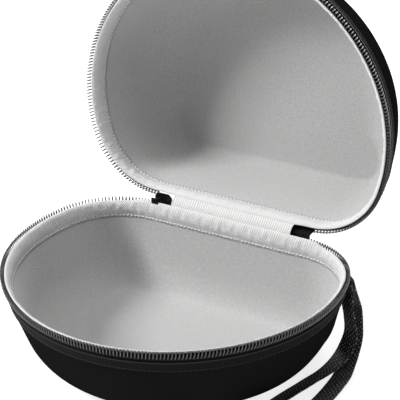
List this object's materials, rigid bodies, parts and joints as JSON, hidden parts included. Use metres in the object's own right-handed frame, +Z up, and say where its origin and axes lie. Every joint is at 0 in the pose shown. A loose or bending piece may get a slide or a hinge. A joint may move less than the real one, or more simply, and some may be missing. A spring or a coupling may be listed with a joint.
{
  "type": "headphone carrying case",
  "caption": "Hard-shell zip case for folded headphones, standing open on a fabric hinge, with pale lining, curved zip and flat webbing wrist strap.",
  "frame": {"origin": "middle of the open case's footprint, on the surface that it stands on", "axes": "+X along the hinge to the right of someone facing the open case, +Y from its front to its hinge and raised lid, +Z up"},
  "size_m": [0.2105, 0.233, 0.2232],
  "materials": {
    "eva_foam": "matte",
    "cover_skin": "satin",
    "knit_lining": "matte",
    "twill_binding": "matte",
    "zip_tape": "matte",
    "coil_nylon": "satin",
    "dark_thread": "satin",
    "pale_thread": "satin",
    "hinge_weave": "matte",
    "slider_metal": "satin",
    "webbing": "matte"
  },
  "bodies": {
    "base": {"base_shell_core": "eva_foam", "base_outer_cover": "cover_skin", "base_lining": "knit_lining", "base_inner_binding": "twill_binding", "base_zip_tape": "zip_tape", "base_zip_coil": "coil_nylon", "base_tape_stitch": "dark_thread", "base_binding_stitch": "pale_thread", "base_hinge_strip_leaf": "hinge_weave", "base_hinge_lining_leaf": "twill_binding", "strap_anchor": "webbing", "wrist_strap": "webbing"},
    "lid": {"lid_shell_core": "eva_foam", "lid_outer_cover": "cover_skin", "lid_lining": "knit_lining", "lid_inner_binding": "twill_binding", "lid_zip_tape": "zip_tape", "lid_zip_coil": "coil_nylon", "lid_tape_stitch": "dark_thread", "lid_binding_stitch": "pale_thread", "lid_hinge_strip_leaf": "hinge_weave", "lid_hinge_lining_leaf": "twill_binding"},
    "slider": {"slider_body": "slider_metal", "slider_bail": "slider_metal"},
    "pull": {"pull_tab": "slider_metal"}
  },
  "joints": [
    {"name": "lid_hinge", "type": "hinge", "parent": "base", "child": "lid", "pos_m": [0, 0.04701, 0.0604], "axis": [-1, 0, 0], "range_deg": [-94.5, 25.5]},
    {"name": "slider_travel", "type": "hinge", "parent": "base", "child": "slider", "pos_m": [-0.05307, -0.00229, 0.0604], "axis": [0, 0, 1], "range_deg": [0, 68]},
    {"name": "pull_swing", "type": "hinge", "parent": "slider", "child": "pull", "pos_m": [-0.047, 0.04991, 0.0604], "axis": [1, 0, 0], "range_deg": [-6, 50]}
  ]
}
